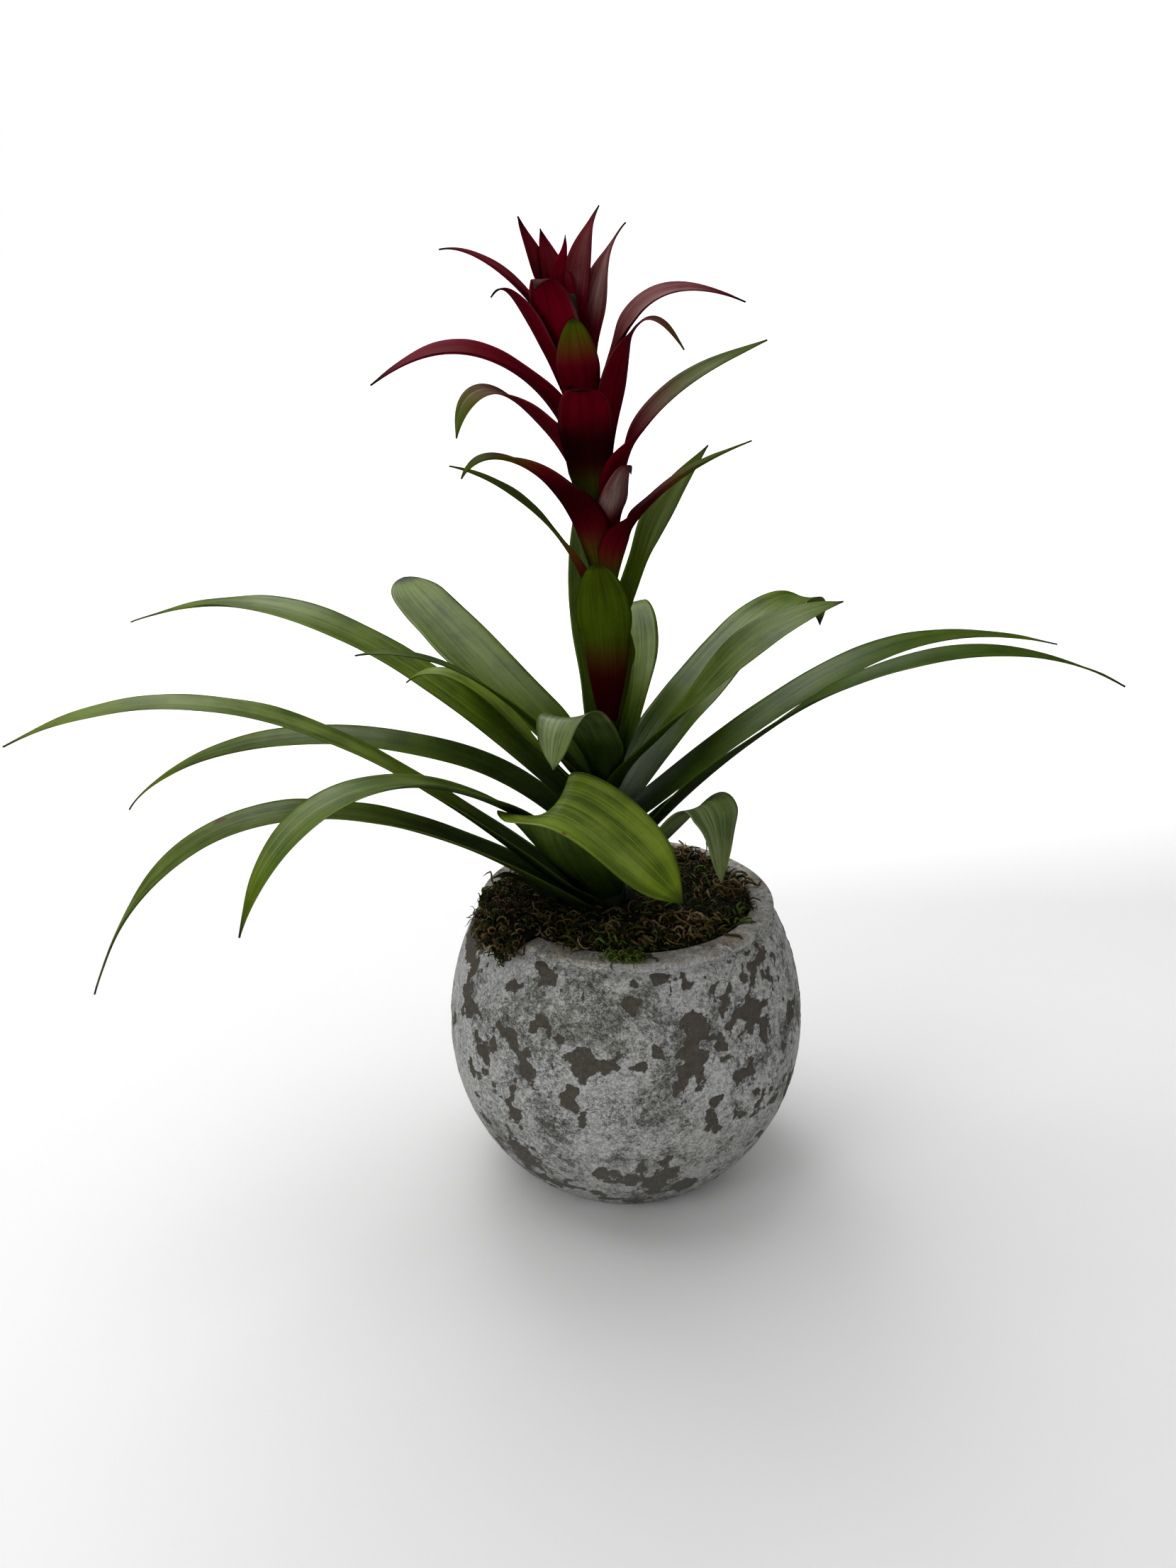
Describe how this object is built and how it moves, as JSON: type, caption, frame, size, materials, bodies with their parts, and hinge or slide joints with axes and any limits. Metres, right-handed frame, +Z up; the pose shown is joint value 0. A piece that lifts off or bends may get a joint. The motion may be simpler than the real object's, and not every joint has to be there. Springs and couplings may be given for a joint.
{
  "type": "potted bromeliad",
  "caption": "House plant with arching strap leaves and a tall spike of pointed red bracts, in a round whitewashed pot topped with moss.",
  "frame": {"origin": "middle of the pot's flat foot, on the surface that it stands on", "axes": "+Z up; the front is -Y; +X to the right of the front view, along the widest spread of the leaves"},
  "size_m": [0.4738, 0.2371, 0.4592],
  "materials": {
    "pot": "matte distressed whitewash over taupe",
    "soil": "rough",
    "moss": "fibrous",
    "stem": "satin",
    "leaf": "glossy",
    "bract_red": "satin",
    "bract_green": "satin"
  },
  "bodies": {
    "root": {"pot": "pot", "soil": "soil", "moss": "moss", "stem": "stem", "leaf_stub": "leaf", "leaf_low_left": "leaf", "leaf_long_left": "leaf", "leaf_front_wide": "leaf", "leaf_front_right": "leaf", "leaf_low_left_front": "leaf", "leaf_long_right_low": "leaf", "leaf_left_mid": "leaf", "leaf_long_right_high": "leaf", "leaf_back_left_far": "leaf", "leaf_back_right": "leaf", "leaf_back_left_mid": "leaf", "leaf_back_left_broad": "leaf", "leaf_left_narrow": "leaf", "leaf_right_rolled": "leaf", "leaf_front_curled": "leaf", "leaf_back_upright": "leaf", "leaf_tall_back": "leaf", "bract_sheath_low": "bract_green", "bract_front_green": "bract_green", "bract_left_thin": "bract_green", "bract_right_green": "bract_green", "bract_right_low": "bract_red", "bract_left_low": "bract_red", "bract_front_right_fold": "bract_red", "bract_right_mid": "bract_red", "bract_front_point": "bract_red", "bract_left_green_tip": "bract_red", "bract_right_front": "bract_red", "bract_left_big": "bract_red", "bract_right_high": "bract_red", "bract_front_upright": "bract_red", "bract_left_high": "bract_red", "bract_front_high": "bract_red", "bract_back_right_low": "bract_red", "bract_left_top": "bract_red", "bract_back_right_top": "bract_red", "bract_back_left_top": "bract_red", "bract_back_top": "bract_red", "bract_centre": "bract_red"}
  },
  "joints": []
}
